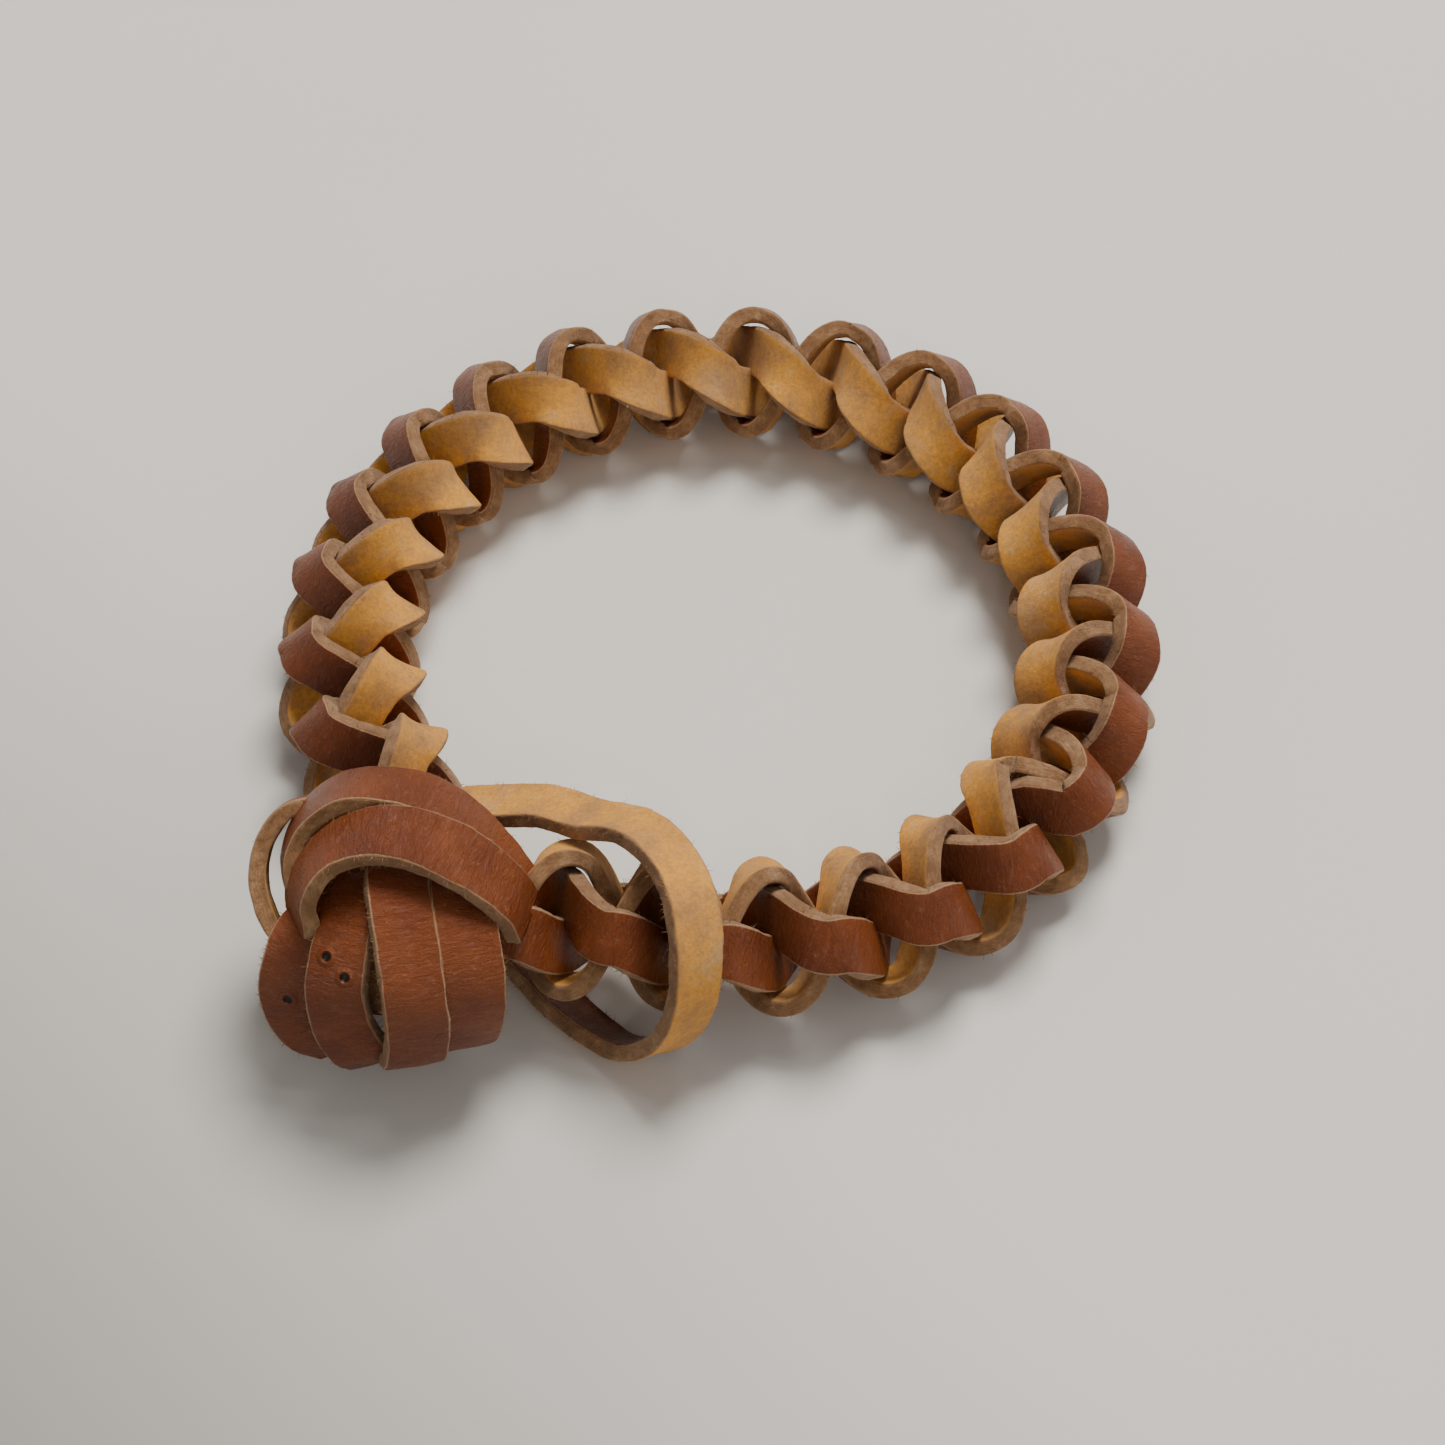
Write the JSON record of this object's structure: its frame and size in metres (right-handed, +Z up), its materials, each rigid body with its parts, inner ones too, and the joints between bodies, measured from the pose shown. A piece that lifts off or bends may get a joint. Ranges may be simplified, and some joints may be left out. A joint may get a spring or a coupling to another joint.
{
  "type": "braided leather bracelet",
  "caption": "Round braided leather bracelet of flat straps, closed by a knot held in a leather loop.",
  "frame": {"origin": "on the resting plane, under the middle of the overall extent", "axes": "+Z up out of the ring's plane, +Y towards the side opposite the closure (the longest extent), +X along the neck away from the knot"},
  "size_m": [0.0782, 0.0848, 0.0238],
  "materials": {
    "braid_leather": "satin grain side, suede flesh side",
    "knot_leather": "satin grain side, fibrous cut edges",
    "loop_leather": "suede flesh side outwards"
  },
  "bodies": {
    "braid_right": {"strap_outer_a_right": "braid_leather", "strap_outer_b_right": "braid_leather", "strap_inner_a_right": "braid_leather", "strap_inner_b_right": "braid_leather"},
    "braid_left": {"strap_outer_a_left": "braid_leather", "strap_outer_b_left": "braid_leather", "strap_inner_a_left": "braid_leather", "strap_inner_b_left": "braid_leather"},
    "loop": {"closure_loop": "loop_leather"},
    "knot": {"knot_cap_rear": "knot_leather", "knot_cap_front": "knot_leather", "knot_face_mid": "knot_leather", "knot_face_neck": "knot_leather", "knot_side_mid": "knot_leather", "knot_side_far": "knot_leather", "knot_end_turn": "knot_leather", "knot_back_top": "knot_leather", "knot_back_low": "knot_leather", "knot_core": "knot_leather"}
  },
  "joints": [
    {"name": "braid_bend", "type": "hinge", "parent": "braid_right", "child": "braid_left", "pos_m": [0, 0.0424, 0.0067], "axis": [0, 0, -1], "range_deg": [0, 4.5], "stiffness_Nm_per_rad": 0.02},
    {"name": "loop_swing", "type": "hinge", "parent": "braid_left", "child": "loop", "pos_m": [-0.0263, -0.0174, 0.0067], "axis": [0, 0, 1], "range_deg": [-2, 0.8], "stiffness_Nm_per_rad": 0.004},
    {"name": "knot_twist", "type": "hinge", "parent": "braid_right", "child": "knot", "pos_m": [-0.018, -0.0298, 0.0101], "axis": [1, 0, 0], "range_deg": [-5, 5], "stiffness_Nm_per_rad": 0.01}
  ]
}
